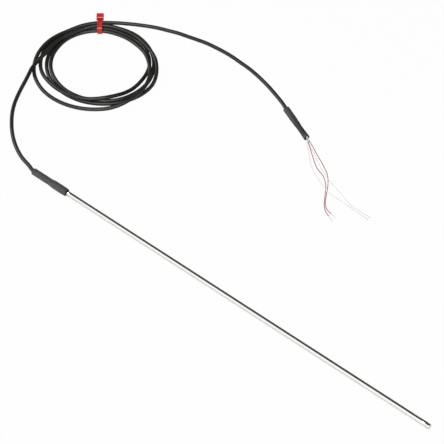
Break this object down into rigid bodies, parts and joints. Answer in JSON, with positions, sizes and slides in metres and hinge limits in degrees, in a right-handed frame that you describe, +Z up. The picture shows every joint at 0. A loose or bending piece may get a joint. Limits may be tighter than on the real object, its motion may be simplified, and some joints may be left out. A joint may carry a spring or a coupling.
{
  "type": "sheathed resistance thermometer probe with flying lead",
  "caption": "Straight sheathed resistance thermometer: closed steel tube, shrunk transition sleeve, and a coiled black lead held by a tie, ending in bare-tipped wires.",
  "frame": {"origin": "on the surface that the probe lies on, below the middle of the probe from the sleeve's cable end to the tip", "axes": "+X along the sheath towards the sensing tip; +Z up, away from the surface; the lead is laid out on the +Y side"},
  "size_m": [0.7045, 0.3064, 0.0173],
  "materials": {
    "sheath_steel": "bright drawn and polished, faint lengthwise marks",
    "weld_steel": "satin, with a darker weld crater",
    "mineral_powder": "pressed mineral powder, matte white",
    "conductor_metal": "drawn nickel alloy wire",
    "epoxy": "cured resin, glossy amber",
    "ceramic": "fired alumina, matte white",
    "platinum": "fine coiled wire, grey",
    "glaze": "fused glass glaze, milky",
    "barrel_copper": "tinned copper crimp barrels",
    "insulator_tube": "thin heat-resistant tubing, translucent buff",
    "core_red": "red insulation",
    "core_white": "white insulation",
    "adhesive": "hot-melt lining, dark amber",
    "sleeve_grey": "shrunk polyolefin tubing, matte charcoal",
    "jacket_black": "smooth black jacket, soft satin",
    "tie_red": "moulded nylon, glossy red",
    "strands_tinned": "twisted tinned copper strands"
  },
  "bodies": {
    "root": {"sheath": "sheath_steel", "end_plug": "weld_steel", "mineral_core": "mineral_powder", "tip_powder": "mineral_powder", "conductor_1": "conductor_metal", "conductor_2": "conductor_metal", "conductor_3": "conductor_metal", "conductor_4": "conductor_metal", "back_seal": "epoxy", "element_body": "ceramic", "platinum_winding": "platinum", "rear_glaze": "glaze", "front_glaze": "glaze", "element_lead_1": "platinum", "element_lead_2": "platinum", "weld_strip_1": "conductor_metal", "weld_strip_2": "conductor_metal", "splice_1": "barrel_copper", "splice_2": "barrel_copper", "splice_3": "barrel_copper", "splice_4": "barrel_copper", "insulator_1": "insulator_tube", "insulator_2": "insulator_tube", "insulator_3": "insulator_tube", "insulator_4": "insulator_tube", "core_1": "core_red", "core_2": "core_red", "core_3": "core_white", "core_4": "core_white", "sleeve_adhesive": "adhesive", "transition_sleeve": "sleeve_grey", "cable_tail": "jacket_black", "cable_coil": "jacket_black", "cable_lead": "jacket_black", "cable_tie": "tie_red", "end_sleeve": "sleeve_grey", "red_wire_1": "core_red", "red_wire_2": "core_red", "white_wire_1": "core_white", "white_wire_2": "core_white", "red_end_1": "strands_tinned", "red_end_2": "strands_tinned", "white_end_1": "strands_tinned", "white_end_2": "strands_tinned"}
  },
  "joints": []
}
